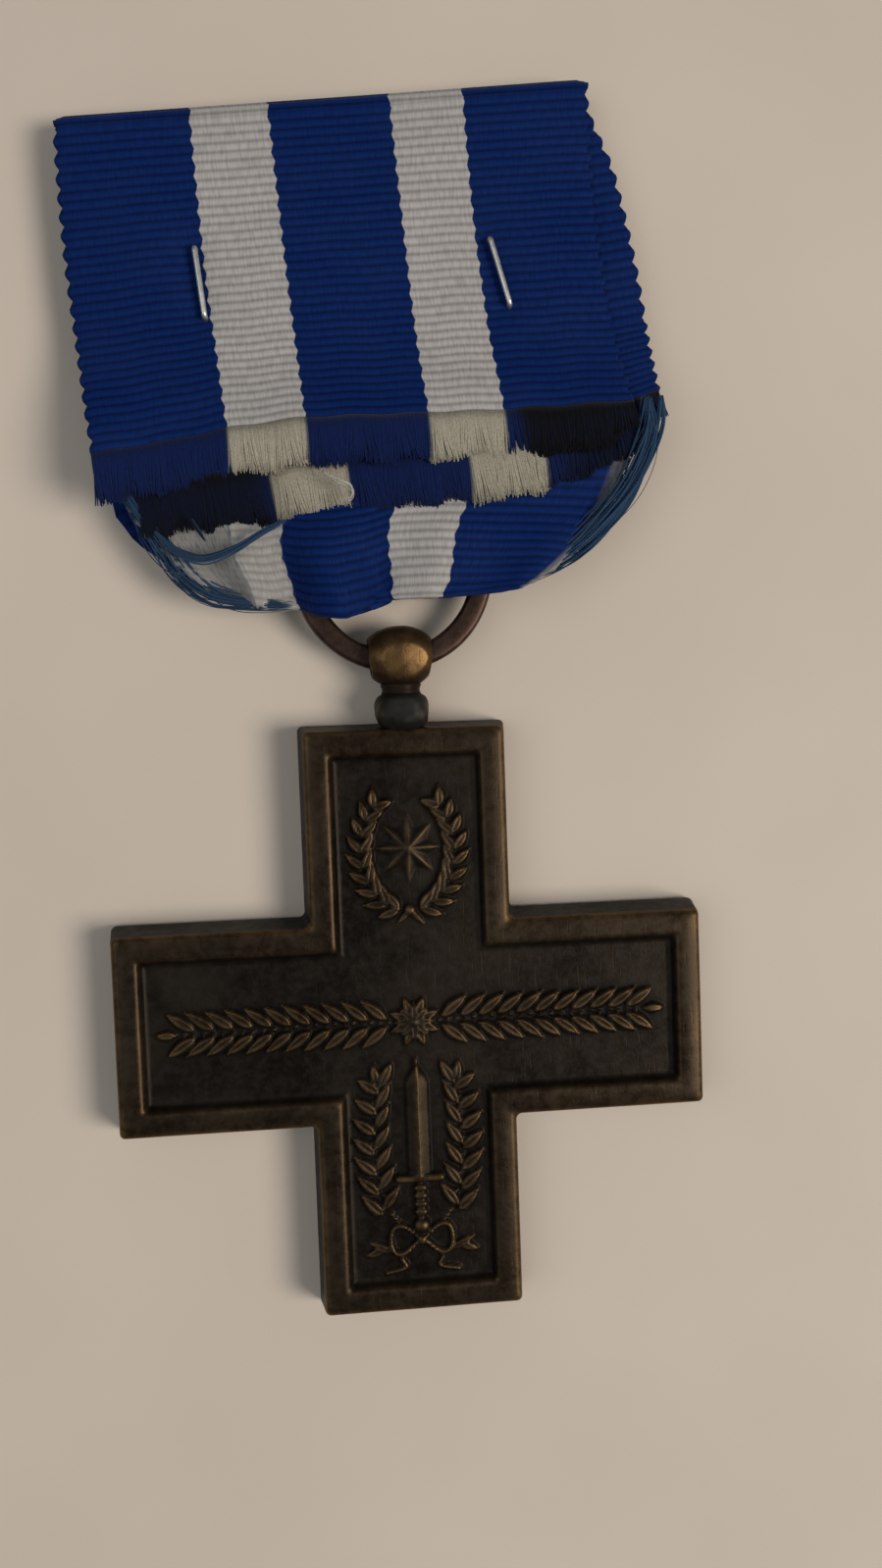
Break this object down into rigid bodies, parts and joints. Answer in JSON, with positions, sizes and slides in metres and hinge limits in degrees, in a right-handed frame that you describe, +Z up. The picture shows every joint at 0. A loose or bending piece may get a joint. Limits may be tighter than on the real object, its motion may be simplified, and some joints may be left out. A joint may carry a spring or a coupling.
{
  "type": "military service medal",
  "caption": "Struck bronze cross with raised rim and relief, hung by a drilled ball and wire ring from a striped ribbon folded in layers and stapled.",
  "frame": {"origin": "bottom centre of the box that holds the medal, in the plane that its reverse lies on", "axes": "+Z up, out of the obverse; +Y from the cross towards the ribbon's top fold; +X to the right of someone looking at the obverse"},
  "size_m": [0.0386, 0.0784, 0.0048],
  "materials": {
    "bronze": "dark patinated struck bronze, edges worn to brown",
    "worn_bronze": "bronze rubbed bright by handling",
    "solder": "dull dark soldered joint",
    "dark_wire": "dark brown patinated wire",
    "ribbon": "ribbed silk grosgrain, dark blue with two off-white stripes",
    "staple_wire": "bright round steel wire"
  },
  "bodies": {
    "ribbon_head": {"ribbon_leaf_outer": "ribbon", "ribbon_fold_outer": "ribbon", "ribbon_flap_outer": "ribbon", "ribbon_leaf_inner": "ribbon", "ribbon_fold_inner": "ribbon", "ribbon_flap_inner": "ribbon", "staple_left": "staple_wire", "staple_right": "staple_wire"},
    "ribbon_tail": {"ribbon_flap_outer_end": "ribbon", "ribbon_flap_inner_end": "ribbon", "ribbon_gather_front": "ribbon", "ribbon_gather_back": "ribbon", "ribbon_throat": "ribbon"},
    "ring": {"suspension_ring": "dark_wire"},
    "cross": {"suspension_ball": "worn_bronze", "suspension_collar": "solder", "cross_planchet": "bronze"}
  },
  "joints": [
    {"name": "ribbon_bend", "type": "hinge", "parent": "ribbon_head", "child": "ribbon_tail", "pos_m": [-0.00062, 0.01983, 0.0017], "axis": [-0.9925, -0.1219, 0], "range_deg": [0, 50]},
    {"name": "ring_sway", "type": "hinge", "parent": "ribbon_tail", "child": "ring", "pos_m": [0.00008, 0.00825, 0.0021], "axis": [0, 0, 1], "range_deg": [-25, 25]},
    {"name": "cross_swing", "type": "hinge", "parent": "ring", "child": "cross", "pos_m": [0.00028, 0.0029, 0.0021], "axis": [-1, 0, 0], "range_deg": [0, 100]}
  ]
}
